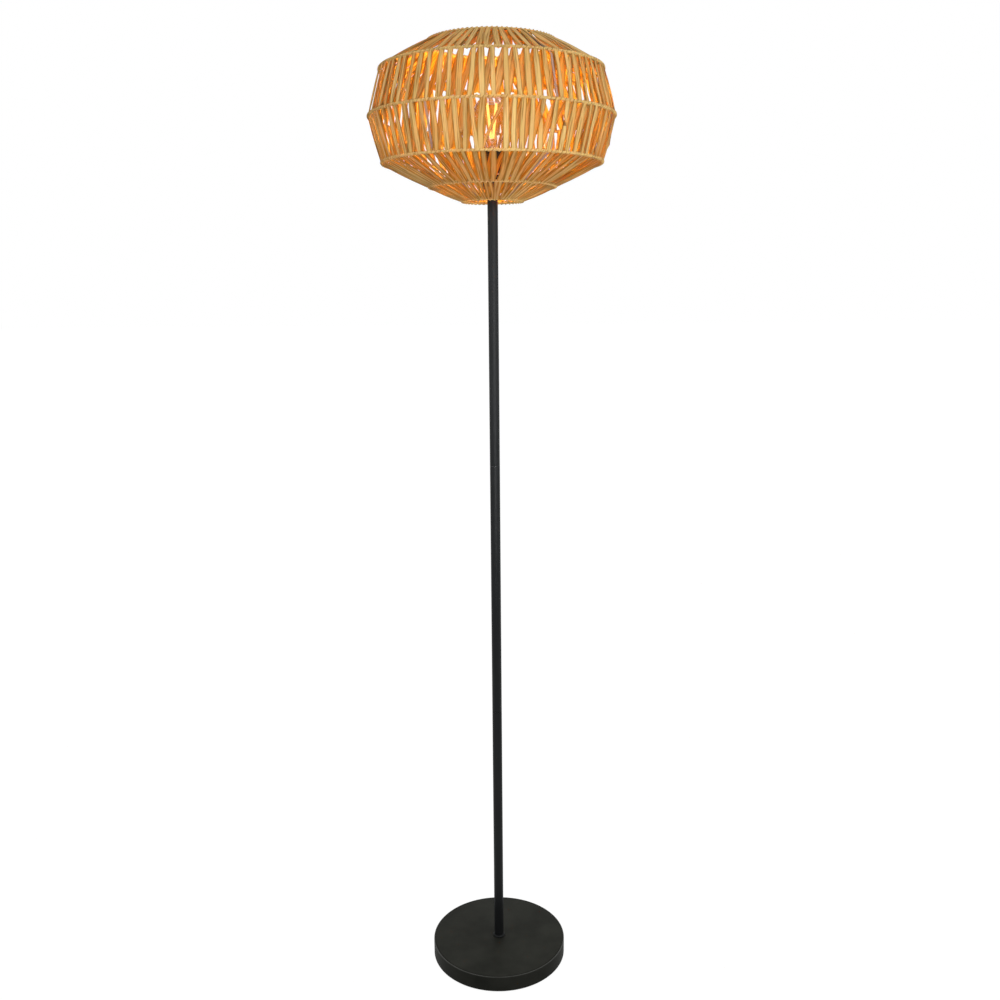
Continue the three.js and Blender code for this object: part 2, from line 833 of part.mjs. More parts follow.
// Straight wire from the fitter's edge out and down to a rib, where that passes the fifth ring. Its
// end is cut square, so the slant between the two wires sets how far back it stops.
function arm() {
  const [outer, below] = ribPoints().slice(armRing);
  const ribAlong = below.clone().sub(outer).normalize();
  const inner = new THREE.Vector3(fitterRadius, 0, fitterMiddle);
  const along = outer.clone().sub(inner).normalize();
  const slant = along.angleTo(ribAlong.negate());
  const back = (ribWireRadius + seatGap + armWireRadius * Math.cos(slant)) / Math.sin(slant);
  outer.addScaledVector(along, -back);
  inner.addScaledVector(along, seatGap - armWireRadius * along.z);
  return barAlong([inner, outer], roundSection(armWireRadius));
}

function ringWire(ring) {
  return new THREE.TorusGeometry(ring.radius, ringWireRadius, wireSides, ringSides);
}

function makeShade() {
  const shade = addGroup(0);
  const fitter = sleeve(aroundSkirt, fitterRadius, fitterThickness);
  add(shade, "shade_fitter", fitter, frameWire).position.z = fitterBottom;
  for (let i = 0; i < armCount; i++) {
    const angle = ribPitch + (i / armCount) * 2 * Math.PI;
    add(shade, "shade_arm_" + (i + 1), arm(), frameWire).rotation.z = angle;
  }
  rings.forEach((ring, i) => {
    add(shade, "shade_ring_" + (i + 1), ringWire(ring), frameWire).position.z = ring.height;
  });
  for (let i = 0; i < ribCount; i++) {
    add(shade, "shade_rib_" + (i + 1), rib(), frameWire).rotation.z = i * ribPitch;
  }
  for (let band = 0; band < rings.length - 1; band++) {
    add(shade, "winding_" + (band + 1), winding(band), strandFinish);
  }
}

makeBase();
makePole();
makeHolder();
makeBulb();
makeShade();

export default lamp;
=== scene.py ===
# A floor lamp: a round weighted base, a slim black pole and a broad shade wound from flat strand.
import math

import bmesh
import bpy
import numpy as np
from mathutils import Matrix, Vector


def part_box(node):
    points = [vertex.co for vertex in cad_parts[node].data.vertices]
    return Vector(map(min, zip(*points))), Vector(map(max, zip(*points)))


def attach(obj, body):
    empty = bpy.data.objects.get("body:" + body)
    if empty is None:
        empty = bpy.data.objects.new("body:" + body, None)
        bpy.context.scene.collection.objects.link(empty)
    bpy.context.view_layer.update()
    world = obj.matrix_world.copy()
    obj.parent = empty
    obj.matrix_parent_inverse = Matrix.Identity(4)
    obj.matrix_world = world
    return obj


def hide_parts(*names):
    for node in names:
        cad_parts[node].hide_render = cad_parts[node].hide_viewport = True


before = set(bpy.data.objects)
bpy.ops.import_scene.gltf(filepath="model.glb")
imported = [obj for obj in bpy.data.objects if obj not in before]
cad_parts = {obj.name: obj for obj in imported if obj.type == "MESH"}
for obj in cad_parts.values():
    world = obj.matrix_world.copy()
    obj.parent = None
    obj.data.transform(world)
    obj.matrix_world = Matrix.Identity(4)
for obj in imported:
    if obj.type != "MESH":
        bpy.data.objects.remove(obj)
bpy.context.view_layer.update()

# The camera stands a little above the middle of the lamp and looks slightly down at it, as the
# photograph does.
camera_lens, camera_place = 37.07, (0.0082, -1.732, 1.2328)
downwards, leaning = 11.87, -0.45
camera_data = bpy.data.cameras.new("photo_camera")
camera_data.lens = camera_lens
camera_data.clip_end = 100.0
camera = bpy.data.objects.new("photo_camera", camera_data)
bpy.context.scene.collection.objects.link(camera)
camera.location = camera_place
pitch = Matrix.Rotation(math.radians(90 - downwards), 3, "X")
roll = Matrix.Rotation(math.radians(leaning), 3, "Z")
camera.rotation_euler = (pitch @ roll).to_euler()
bpy.context.scene.camera = camera

# The foot pad is a thin sheet of black closed-cell foam, glued under the whole base to spare the
# floor.
fine_grain = bpy.data.node_groups.new("fine_grain", "ShaderNodeTree")
for socket_name, kind in [("Scale", "NodeSocketFloat"), ("Stretch", "NodeSocketVector")]:
    fine_grain.interface.new_socket(name=socket_name, in_out="INPUT", socket_type=kind)
for socket_name in ["Patches", "Grain"]:
    fine_grain.interface.new_socket(
        name=socket_name, in_out="OUTPUT", socket_type="NodeSocketFloat"
    )
grain_in = fine_grain.nodes.new("NodeGroupInput")
grain_out = fine_grain.nodes.new("NodeGroupOutput")
grain_place = fine_grain.nodes.new("ShaderNodeTexCoord")
grain_stretch = fine_grain.nodes.new("ShaderNodeVectorMath")
grain_stretch.operation = "MULTIPLY"
fine_grain.links.new(grain_place.outputs["Object"], grain_stretch.inputs[0])
fine_grain.links.new(grain_in.outputs["Stretch"], grain_stretch.inputs[1])
for output, share, detail in [("Patches", 0.04, 4.0), ("Grain", 1.0, 2.0)]:
    size = fine_grain.nodes.new("ShaderNodeMath")
    size.operation = "MULTIPLY"
    size.inputs[1].default_value = share
    noise = fine_grain.nodes.new("ShaderNodeTexNoise")
    noise.inputs["Detail"].default_value = detail
    fine_grain.links.new(grain_in.outputs["Scale"], size.inputs[0])
    fine_grain.links.new(size.outputs[0], noise.inputs["Scale"])
    fine_grain.links.new(grain_stretch.outputs[0], noise.inputs["Vector"])
    fine_grain.links.new(noise.outputs["Fac"], grain_out.inputs[output])


def ranged(tree, source, low, high, spread=(0.3, 0.7)):
    """Takes a mask from its usual spread to the range from low to high."""
    node = tree.nodes.new("ShaderNodeMapRange")
    node.inputs["From Min"].default_value = spread[0]
    node.inputs["From Max"].default_value = spread[1]
    node.inputs["To Min"].default_value = low
    node.inputs["To Max"].default_value = high
    tree.links.new(source, node.inputs["Value"])
    return node.outputs["Result"]


def blended(tree, factor, first, second):
    """Mixes two colours, each a plain colour or a socket."""
    node = tree.nodes.new("ShaderNodeMix")
    node.data_type = "RGBA"
    tree.links.new(factor, node.inputs[0])
    for index, colour in [(6, first), (7, second)]:
        if isinstance(colour, tuple):
            node.inputs[index].default_value = (*colour, 1.0)
        else:
            tree.links.new(colour, node.inputs[index])
    return node.outputs[2]


def bumped(tree, height, depth, shader):
    """Raises a surface by a height mask that is depth metres deep."""
    bump = tree.nodes.new("ShaderNodeBump")
    bump.inputs["Distance"].default_value = depth
    tree.links.new(height, bump.inputs["Height"])
    tree.links.new(bump.outputs["Normal"], shader.inputs["Normal"])


def coated(name, dark, light, rough, grain, depth, metallic=0.0, specular=0.5, stretch=(1, 1, 1)):
    """A solid finish: cloudy between two colours and two roughnesses, with a fine raised grain."""
    material = bpy.data.materials.new(name)
    material.use_nodes = True
    tree = material.node_tree
    shader = tree.nodes["Principled BSDF"]
    shader.inputs["Metallic"].default_value = metallic
    shader.inputs["Specular IOR Level"].default_value = specular
    texture = tree.nodes.new("ShaderNodeGroup")
    texture.node_tree = fine_grain
    texture.inputs["Scale"].default_value = grain
    texture.inputs["Stretch"].default_value = stretch
    cloudy = ranged(tree, texture.outputs["Patches"], 0.0, 1.0)
    tree.links.new(blended(tree, cloudy, dark, light), shader.inputs["Base Color"])
    tree.links.new(ranged(tree, texture.outputs["Patches"], *rough), shader.inputs["Roughness"])
    bumped(tree, texture.outputs["Grain"], depth, shader)
    return material


def dress(material, slot, *names):
    """Gives CAD nodes that stay as they are their finish."""
    for name in names:
        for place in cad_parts[name].material_slots:
            place.material = material


foam = coated(
    "black_foam", (0.008, 0.008, 0.008), (0.016, 0.016, 0.015), (0.85, 0.95), 900.0, 4e-4
)
dress(foam, "foam", "foot_pad")


# The base cover is a pressed steel shell, painted satin black. A fine groove and a thin rolled bead
# run round its top edge. The bead's paint is shinier, and lighter as a painted highlight. It is
# pierced at the back for the cord's bush.
def turned(name, outline, sides, change=None):
    """Turns an outline of (radius, height) points round the lamp's axis. change gives new radii."""
    mesh = bpy.data.meshes.new(name)
    angles = np.arange(sides) * 2 * math.pi / sides
    vertices, faces, rows = [], [], []
    for radius, height in outline:
        if radius < 1e-9:
            rows.append([len(vertices)] * sides)
            vertices.append((0.0, 0.0, height))
            continue
        radii = np.full(sides, radius) if change is None else change(radius, height, angles)
        rows.append(list(range(len(vertices), len(vertices) + sides)))
        vertices += [(r * math.cos(a), r * math.sin(a), height) for r, a in zip(radii, angles)]
    pairs = list(zip(rows, rows[1:]))
    if outline[0][0] > 1e-9:
        pairs.append((rows[-1], rows[0]))
    for low, high in pairs:
        for i in range(sides):
            j = (i + 1) % sides
            face = list(dict.fromkeys([low[i], low[j], high[j], high[i]]))
            if len(face) > 2:
                faces.append(face)
    mesh.from_pydata(vertices, [], faces)
    return placed(name, mesh)


def placed(name, mesh, sharp=35.0):
    """Turns every face outwards, shades the mesh smooth up to an angle and puts it in the scene."""
    shape = bmesh.new()
    shape.from_mesh(mesh)
    bmesh.ops.remove_doubles(shape, verts=shape.verts, dist=1e-7)
    bmesh.ops.recalc_face_normals(shape, faces=shape.faces)
    shape.to_mesh(mesh)
    shape.free()
    mesh.shade_smooth()
    mesh.set_sharp_from_angle(angle=math.radians(sharp))
    piece = bpy.data.objects.new(name, mesh)
    bpy.context.scene.collection.objects.link(piece)
    return piece


def made(piece, body, slot, material, *nodes):
    """Finishes a piece: its material, the body it moves with and the CAD nodes it stands for."""
    piece.data.materials.append(material)
    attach(piece, body)
    if nodes:
        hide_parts(*nodes)


def rounded(outline, size):
    """Rounds each corner of an outline that isn't on the axis, by at most size."""
    points, steps = [], 3
    for i, corner in enumerate(outline):
        here, before = Vector(corner), Vector(outline[i - 1])
        after = Vector(outline[(i + 1) % len(outline)])
        if here.x < 1e-9:
            points.append(tuple(here))
            continue
        reach = min(size, (before - here).length * 0.45, (after - here).length * 0.45)
        first = here + (before - here).normalized() * reach
        last = here + (after - here).normalized() * reach
        for k in range(steps + 1):
            t = k / steps
            points.append(tuple(first.lerp(here, t).lerp(here.lerp(last, t), t)))
    return points


cover_low, cover_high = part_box("base_cover")
cover_radius = cover_high.x
cover_wall, cover_sides = 0.0012, 160
bead_radius = 0.0009
groove_width, groove_depth, groove_slant = 0.0012, 0.0009, 0.0003
lip_start, lip_end, lip_drop = 0.0005, 0.0009, 0.0001
lining_start, lining_end = 0.001, 0.0015
foot_bend, rim_width = 0.0008, 0.009
rim_inside = cover_radius - rim_width
nut_hole = 0.00515
inlet_radius, inlet_depth = 0.00465, 0.01
bead_inside = cover_radius - 2 * bead_radius
groove_inside = bead_inside - groove_width
cover_skin = [
    (cover_radius - foot_bend, cover_low.z),
    (cover_radius, cover_low.z + foot_bend),
    (cover_radius, cover_high.z - bead_radius),
    (bead_inside, cover_high.z - bead_radius),
    (bead_inside - groove_slant, cover_high.z - groove_depth),
    (groove_inside, cover_high.z - groove_depth),
    (groove_inside - lip_start, cover_high.z - lip_drop),
    (groove_inside - lip_end, cover_high.z),
    (nut_hole, cover_high.z),
]
cover_lining = [
    (nut_hole, cover_high.z - cover_wall),
    (groove_inside - lining_end, cover_high.z - cover_wall),
    (groove_inside - lining_start, cover_high.z - groove_depth - cover_wall),
    (cover_radius - cover_wall, cover_high.z - groove_depth - cover_wall),
    (cover_radius - cover_wall, cover_low.z + cover_wall),
    (rim_inside, cover_low.z + cover_wall),
    (rim_inside, cover_low.z),
]
cover = turned("base_shell", cover_skin + cover_lining, cover_sides)
inlet_height = (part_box("cord_grip")[0].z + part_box("cord_grip")[1].z) / 2
inlet_mesh = bpy.data.meshes.new("inlet_hole")
inlet_shape = bmesh.new()
bmesh.ops.create_cone(
    inlet_shape,
    cap_ends=True,
    segments=48,
    radius1=inlet_radius,
    radius2=inlet_radius,
    depth=inlet_depth,
    matrix=Matrix.Translation((0, cover_radius, inlet_height))
    @ Matrix.Rotation(math.pi / 2, 4, "X"),
)
inlet_shape.to_mesh(inlet_mesh)
inlet_shape.free()
inlet_hole = bpy.data.objects.new("inlet_hole", inlet_mesh)
bpy.context.scene.collection.objects.link(inlet_hole)
piercing = cover.modifiers.new("inlet", "BOOLEAN")
piercing.object = inlet_hole
piercing.operation = "DIFFERENCE"
pierced = bpy.data.meshes.new_from_object(
    cover.evaluated_get(bpy.context.evaluated_depsgraph_get())
)
cover.modifiers.clear()
cover.data = pierced
bpy.data.objects.remove(inlet_hole)
satin_black = coated(
    "satin_black_paint", (0.012, 0.0125, 0.01), (0.0245, 0.0252, 0.021), (0.46, 0.6), 500.0, 1e-4,
    specular=0.03,
)
made(cover, "stand", "black_enamel", satin_black, "base_cover")
bead_outline = [
    (
        cover_radius - bead_radius + bead_radius * math.cos(a),
        cover_high.z - bead_radius + bead_radius * math.sin(a),
    )
    for a in np.linspace(0, 2 * math.pi, 13)[:-1]
]
bead = turned("base_bead", bead_outline, cover_sides)
# Painted highlight: the bead's paint is lighter than the cover's, so it shows as a bright line
# round the edge.
bead_painted_highlight = coated(
    "bead_painted_highlight_paint", (0.02, 0.0205, 0.0175), (0.034, 0.0348, 0.03), (0.32, 0.44), 900.0, 4e-5,
    specular=0.25,
)
made(bead, "stand", "black_enamel", bead_painted_highlight)

# Inside the cover a block of cast concrete gives the lamp its weight. A zinc-plated washer, lock
# nut and threaded tube clamp cover and pole together through its middle.
concrete = coated(
    "cast_concrete", (0.2, 0.195, 0.18), (0.33, 0.32, 0.3), (0.8, 0.95), 400.0, 8e-4
)
dress(concrete, "cast_block", "base_weight")
zinc = coated(
    "zinc_plate", (0.42, 0.43, 0.44), (0.58, 0.59, 0.6), (0.3, 0.45), 800.0, 5e-5, metallic=1.0
)
dress(
    zinc, "bare_steel", "base_washer", "base_lock_nut", "base_nipple", "foot_insert",
    "joint_socket_lower", "joint_stud_middle", "joint_socket_middle", "joint_stud_upper",
    "top_insert", "holder_nipple",
)

# The cord's bush is moulded black plastic, snapped through the back of the cover with a flange on
# each side. The flex lies in it with a black sheath.
grip_low, grip_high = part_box("cord_grip")
flange_radius = (grip_high.z - grip_low.z) / 2
grip_neck, grip_bore, flange_thickness = 0.0045, 0.0031, 0.0016
outer_lip, grip_edge = 0.0006, 0.0005
inner_flange = grip_low.y + flange_thickness
outer_flange = grip_high.y - flange_thickness
grip_outline = rounded(
    [
        (grip_bore, grip_low.y), (flange_radius, grip_low.y), (flange_radius, inner_flange),
        (grip_neck, inner_flange), (grip_neck, outer_flange), (flange_radius, outer_flange),
        (grip_neck + outer_lip, grip_high.y), (grip_bore, grip_high.y),
    ],
    grip_edge,
)
grip = turned("cord_bush", grip_outline, 48)
grip.data.transform(
    Matrix.Translation((0, 0, inlet_height)) @ Matrix.Rotation(-math.pi / 2, 4, "X")
)
black_plastic = coated(
    "black_plastic", (0.008, 0.008, 0.008), (0.014, 0.014, 0.013), (0.38, 0.5), 1800.0, 5e-5,
    specular=0.4,
)
made(grip, "stand", "black_plastic", black_plastic, "cord_grip")
sheath = coated(
    "flex_sheath", (0.006, 0.006, 0.006), (0.012, 0.012, 0.011), (0.5, 0.65), 1200.0, 4e-5
)
dress(sheath, "flex_cover", "flex")

# The collar is a small turned steel ring with a bevelled rim, painted black like the base and the
# pole. The threaded tube passes through it and clamps it between them.
collar_low, collar_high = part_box("foot_collar")
collar_bevel, collar_edge = 0.0012, 0.0006
collar_outline = [
    (nut_hole, collar_low.z), (collar_high.x, collar_low.z),
    (collar_high.x, collar_high.z - collar_bevel), (collar_high.x - collar_bevel, collar_high.z),
    (nut_hole, collar_high.z),
]
collar = turned("pole_collar", rounded(collar_outline, collar_edge), 96)
pole_paint = coated(
    "pole_paint", (0.009, 0.0097, 0.0102), (0.014, 0.015, 0.0157), (0.4, 0.5), 1500.0, 4e-5,
    specular=0.1, stretch=(1, 1, 0.25),
)
made(collar, "stand", "black_enamel", pole_paint, "foot_collar")

# The pole is three lengths of thin steel tube, painted satin black and screwed end to end, so that
# a fine line shows at each joint.
tube_wall, tube_edge = 0.001, 0.0004
for place in ["lower", "middle", "upper"]:
    tube_low, tube_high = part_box("pole_" + place)
    tube_radius = tube_high.x
    tube_outline = [
        (tube_radius - tube_wall, tube_low.z), (tube_radius, tube_low.z),
        (tube_radius, tube_high.z), (tube_radius - tube_wall, tube_high.z),
    ]
    tube = turned("tube_" + place, rounded(tube_outline, tube_edge), 64)
    made(tube, "stand", "pole_enamel", pole_paint, "pole_" + place)

# The lampholder is moulded in black plastic: a domed cap on the pole's end and a straight skirt
# screwed into it. Its flange carries the shade.
cap_low, cap_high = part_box("holder_cap")
skirt_low, skirt_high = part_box("holder_skirt")
holder_radius = cap_high.x
cap_height = cap_high.z - cap_low.z
foot_radius, floor_radius, floor_thickness = 0.0115, 0.0095, 0.004
rim_wall, waist_wall, waist_height = 0.0045, 0.006, 0.015
cap_floor = cap_low.z + floor_thickness
dome_shares = [
    (0.0, 0.0), (0.04, 0.08), (0.1, 0.2), (0.3, 0.36), (0.55, 0.5), (0.78, 0.64), (0.92, 0.78),
    (1.0, 0.92), (1.0, 1.0),
]
dome_outside = [
    (foot_radius + out * (holder_radius - foot_radius), cap_low.z + up * cap_height)
    for out, up in dome_shares
]
dome_inside = [
    (holder_radius - rim_wall, cap_high.z), (holder_radius - waist_wall, cap_low.z + waist_height),
    (floor_radius, cap_floor), (nut_hole, cap_floor), (nut_hole, cap_low.z),
]
cap = turned("holder_dome", dome_outside + dome_inside, 72)
made(cap, "stand", "black_plastic", black_plastic, "holder_cap")
flange_height, flange_edge = 0.003, 0.0006
flange_top = skirt_low.z + flange_height
mouth_radius, mouth_depth, mouth_edge = 0.0143, 0.0025, 0.0006
sleeve_wall, sleeve_edge = 0.002, 0.001
sleeve_inside = holder_radius - sleeve_wall
thread_pitch, thread_half = 0.0027, 0.0004
plain_foot, plain_lip = 0.002, 0.006


def skirt_thread(radius, height, angles):
    """The raised thread on the skirt's outside, between its flange and its lip."""
    inside = flange_top + plain_foot < height < skirt_high.z - plain_lip
    if not inside or radius < holder_radius - 1e-5:
        return np.full(len(angles), radius)
    wave = np.cos(2 * math.pi * (height / thread_pitch - angles / (2 * math.pi)))
    return radius - thread_half + thread_half * wave


flange_corners = [
    (sleeve_inside, skirt_low.z), (skirt_high.x, skirt_low.z), (skirt_high.x, flange_top)
]
skirt_outside = [
    (holder_radius, z)
    for z in np.linspace(flange_top + sleeve_edge, skirt_high.z - sleeve_edge, 90)
]
skirt_inside = [
    (holder_radius - sleeve_edge, skirt_high.z), (mouth_radius + mouth_edge, skirt_high.z),
    (mouth_radius, skirt_high.z - mouth_edge), (mouth_radius, skirt_high.z - mouth_depth),
    (sleeve_inside, skirt_high.z - mouth_depth), (sleeve_inside, skirt_low.z),
]
skirt_outline = rounded(flange_corners, flange_edge)[4:] + skirt_outside + skirt_inside
skirt = turned("holder_sleeve", skirt_outline, 72, skirt_thread)
made(skirt, "stand", "black_plastic", black_plastic, "holder_skirt")

# Inside the holder a white ceramic block carries the brass parts: two terminal screws, the screw
# shell and the sprung centre contact.
ceramic = coated(
    "white_ceramic", (0.62, 0.6, 0.55), (0.72, 0.7, 0.65), (0.3, 0.45), 900.0, 3e-5
)
dress(ceramic, "ceramic", "terminal_block")
brass = coated(
    "pressed_brass", (0.56, 0.38, 0.13), (0.68, 0.48, 0.19), (0.25, 0.4), 700.0, 3e-5, metallic=1.0
)
dress(
    brass, "brass", "terminal_screw_left", "terminal_screw_right", "screw_shell", "centre_contact"
)

# The ring nut is black plastic with finger grips round it. It screws down the skirt and clamps the
# shade's fitting on the flange.
nut_low, nut_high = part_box("shade_ring_nut")
nut_gap, nut_edge = 0.0005, 0.001
nut_bore = holder_radius + nut_gap
grip_count, grip_depth, grip_reach = 14, 0.0011, 0.0015


def finger_grips(radius, height, angles):
    """Shallow scallops round the nut's outside."""
    if radius < nut_high.x - grip_reach:
        return np.full(len(angles), radius)
    scallop = np.clip(np.cos(angles * grip_count), 0.2, 1.0) - 0.2
    return radius - grip_depth * scallop


nut_outline = [
    (nut_bore, nut_low.z), (nut_high.x, nut_low.z), (nut_high.x, nut_high.z), (nut_bore, nut_high.z)
]
ring_nut = turned("ring_nut", rounded(nut_outline, nut_edge), 168, finger_grips)
made(ring_nut, "ring_nut", "black_plastic", black_plastic, "shade_ring_nut")

# The bulb's foot is a nickel-plated screw cap with a rolled thread, a black glass insulator and a
# solder tip. The thread turns into the holder's shell.
plug_low, plug_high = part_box("bulb_cap")
plug_radius = plug_high.x
plug_wall, plug_foot_height = 0.0005, 0.0022
foot_inner_inset, foot_outer_inset = 0.0027, 0.0022
thread_depth, screw_pitch = 0.0009, 0.0036
thread_start_share, thread_end_share, thread_fade_share = 0.1, 0.86, 0.08


def rolled_thread(radius, height, angles):
    """The round thread rolled into the cap, fading out towards its foot and its rim."""
    up = (height - plug_low.z) / (plug_high.z - plug_low.z)
    from_foot = max(0.0, (up - thread_start_share) / thread_fade_share)
    from_rim = max(0.0, (thread_end_share - up) / thread_fade_share)
    wave = 0.5 - 0.5 * np.cos(2 * math.pi * (height / screw_pitch - angles / (2 * math.pi)))
    return radius - thread_depth * min(1.0, from_foot, from_rim) * wave


plug_levels = np.linspace(plug_low.z + plug_foot_height, plug_high.z, 48)
plug_side = [(plug_radius, z) for z in plug_levels]
plug_lining = [(plug_radius - plug_wall, z) for z in plug_levels[::-1]]
plug_foot = [
    (plug_radius - foot_inner_inset, plug_low.z), (plug_radius - foot_outer_inset, plug_low.z)
]
plug = turned("bulb_screw", plug_foot + plug_side + plug_lining, 60, rolled_thread)
nickel = coated(
    "nickel_plate", (0.38, 0.365, 0.33), (0.55, 0.53, 0.49), (0.2, 0.32), 600.0, 2e-5, metallic=1.0
)
made(plug, "bulb", "bulb_nickel", nickel, "bulb_cap")
dress(nickel, "bulb_nickel", "bulb_tip")
dress(black_plastic, "black_plastic", "bulb_insulator")

# The bulb is clear blown glass, open at its neck, where it is fused to a flared glass stem. It is
# painted darker where it is seen edge on, a painted shade that outlines it, and lets the light
# inside it out.
glass_low, glass_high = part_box("bulb_glass")
glass_radius = glass_high.x
glass_height = glass_high.z - glass_low.z
glass_wall = 0.0008
glass_shares = [
    (0.408, 0.0), (0.408, 0.1), (0.45, 0.19), (0.6, 0.3), (0.8, 0.43), (0.95, 0.56),
    (1.0, 0.672), (0.96, 0.77), (0.82, 0.865), (0.58, 0.944), (0.3, 0.988), (0.0, 1.0),
]


def smooth_line(points, steps):
    """A smooth line through points, with steps between each two."""
    points = np.array(points)
    padded = np.vstack([2 * points[0] - points[1], points, 2 * points[-1] - points[-2]])
    line = []
    for a, b, c, d in zip(padded, padded[1:], padded[2:], padded[3:]):
        slope, sag, turn = c - a, 2 * a - 5 * b + 4 * c - d, 3 * b - a - 3 * c + d
        for t in np.arange(steps) / steps:
            line.append(0.5 * (2 * b + slope * t + sag * t**2 + turn * t**3))
    return np.array(line + [points[-1]])


bulb_line = np.clip(smooth_line(glass_shares, 4), 0.0, 1.0)
glass_outside = [(x * glass_radius, glass_low.z + y * glass_height) for x, y in bulb_line]
glass_inside = [
    (max(x * glass_radius - glass_wall, 0.0), glass_low.z + y * (glass_height - glass_wall))
    for x, y in bulb_line[:-2][::-1]
]
glass_top = [(0.0, glass_high.z - glass_wall)]
envelope = turned("bulb_envelope", glass_top + glass_inside + glass_outside, 64)
bulb_clear = bpy.data.materials.new("bulb_glass")
bulb_clear.use_nodes = True
tree = bulb_clear.node_tree
shader = tree.nodes["Principled BSDF"]
shader.inputs["Transmission Weight"].default_value = 1.0
shader.inputs["IOR"].default_value = 1.45
texture = tree.nodes.new("ShaderNodeGroup")
texture.node_tree = fine_grain
texture.inputs["Scale"].default_value = 300.0
texture.inputs["Stretch"].default_value = (1, 1, 1)
faint = ranged(tree, texture.outputs["Patches"], 0.0, 1.0)
clear_body = blended(tree, faint, (0.97, 0.96, 0.93), (1.0, 1.0, 1.0))
# Painted shade: the glass turns dark grey where it is seen edge on.
edge_on = tree.nodes.new("ShaderNodeLayerWeight")
edge_on.inputs["Blend"].default_value = 0.5
edge_on_painted_shade = ranged(tree, edge_on.outputs["Facing"], 0.0, 1.0, (0.45, 0.95))
clear_colour = blended(tree, edge_on_painted_shade, clear_body, (0.35, 0.34, 0.32))
clear_rough = ranged(tree, texture.outputs["Patches"], 0.0, 0.003)
path = tree.nodes.new("ShaderNodeLightPath")
lets_light_out = tree.nodes.new("ShaderNodeBsdfTransparent")
glass_mix = tree.nodes.new("ShaderNodeMixShader")
for source, target in [
    (clear_colour, shader.inputs["Base Color"]),
    (clear_rough, shader.inputs["Roughness"]),
    (path.outputs["Is Shadow Ray"], glass_mix.inputs[0]),
    (shader.outputs[0], glass_mix.inputs[1]),
    (lets_light_out.outputs[0], glass_mix.inputs[2]),
    (glass_mix.outputs[0], tree.nodes["Material Output"].inputs["Surface"]),
]:
    tree.links.new(source, target)
made(envelope, "bulb", "bulb_glass", bulb_clear, "bulb_glass")
stem_low, stem_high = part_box("bulb_stem")
stem_radius, flare_radius, flare_bevel, flare_taper = 0.0026, stem_high.x, 0.001, 0.0005
flare_line = [
    (0.0, 0.0), (flare_radius - flare_bevel, 0.0), (flare_radius, 0.0008),
    (flare_radius - flare_taper, 0.003), (0.0062, 0.0075), (0.0038, 0.013), (stem_radius, 0.018),
]
head_line = [(stem_radius, 0.004), (0.0031, 0.0015), (0.0024, 0.0), (0.0, 0.0)]
stem_outline = [(radius, stem_low.z + above) for radius, above in flare_line]
stem_outline += [(radius, stem_high.z - below) for radius, below in head_line]
stem = turned("bulb_stem_flare", stem_outline, 48)
made(stem, "bulb", "bulb_glass", bulb_clear, "bulb_stem")


# Four filament sticks stand on the stem and lean apart to a wire ring at their heads. Each is a
# thin strip under a yellow coating that glows. The bulb's own light starts here.
def swept(name, path, facing, sections, **marks):
    """A closed bar through sections of (across, out) points along a path, with marks at each."""
    path, facing = np.asarray(path, float), np.asarray(facing, float)
    sections = np.asarray(sections, float)
    along = np.gradient(path, axis=0)
    along /= np.linalg.norm(along, axis=1)[:, None]
    across = np.cross(along, facing)
    across /= np.linalg.norm(across, axis=1)[:, None]
    out = np.cross(across, along)
    places = (
        path[:, None, :]
        + sections[:, :, :1] * across[:, None, :]
        + sections[:, :, 1:] * out[:, None, :]
    )
    count, corners = sections.shape[:2]
    row, corner = (np.arange(count - 1) * corners)[:, None], np.arange(corners)[None, :]
    first, after = row + corner, row + (corner + 1) % corners
    quads = np.stack([first, after, after + corners, first + corners], axis=-1).reshape(-1, 4)
    last = (count - 1) * corners
    faces = quads.tolist() + [list(range(corners))[::-1], list(range(last, last + corners))]
    mesh = bpy.data.meshes.new(name)
    mesh.from_pydata(places.reshape(-1, 3).tolist(), [], faces)
    for mark, values in marks.items():
        values = np.asarray(values, np.float32)
        kind = "FLOAT" if values.ndim == 2 else "FLOAT_VECTOR"
        attribute = mesh.attributes.new(mark, kind, "POINT")
        attribute.data.foreach_set("value" if kind == "FLOAT" else "vector", values.ravel())
    return mesh


def circle(radius, corners):
    """The corners of a round section."""
    angles = np.arange(corners) * 2 * math.pi / corners
    return np.stack([radius * np.cos(angles), radius * np.sin(angles)], axis=1)


def wire(name, path, radius, corners=12):
    """A round wire with rounded ends along a path of points."""
    path = [Vector(p) for p in path]
    start, finish = (path[1] - path[0]).normalized(), (path[-1] - path[-2]).normalized()
    inset, tip, shoulder = radius * 0.5, 0.35, 0.8
    points = [path[0], path[0] + start * inset * 0.25, path[0] + start * inset] + path[1:-1]
    points += [path[-1] - finish * inset, path[-1] - finish * inset * 0.25, path[-1]]
    sizes = [tip, shoulder, 1.0] + [1.0] * (len(path) - 2) + [1.0, shoulder, tip]
    side = Vector((-start.y, start.x, 0.0))
    side = side.normalized() if side.length > 1e-6 else Vector((1.0, 0.0, 0.0))
    sections = [circle(radius * size, corners) for size in sizes]
    return placed(name, swept(name, points, [side] * len(points), sections), 60.0)


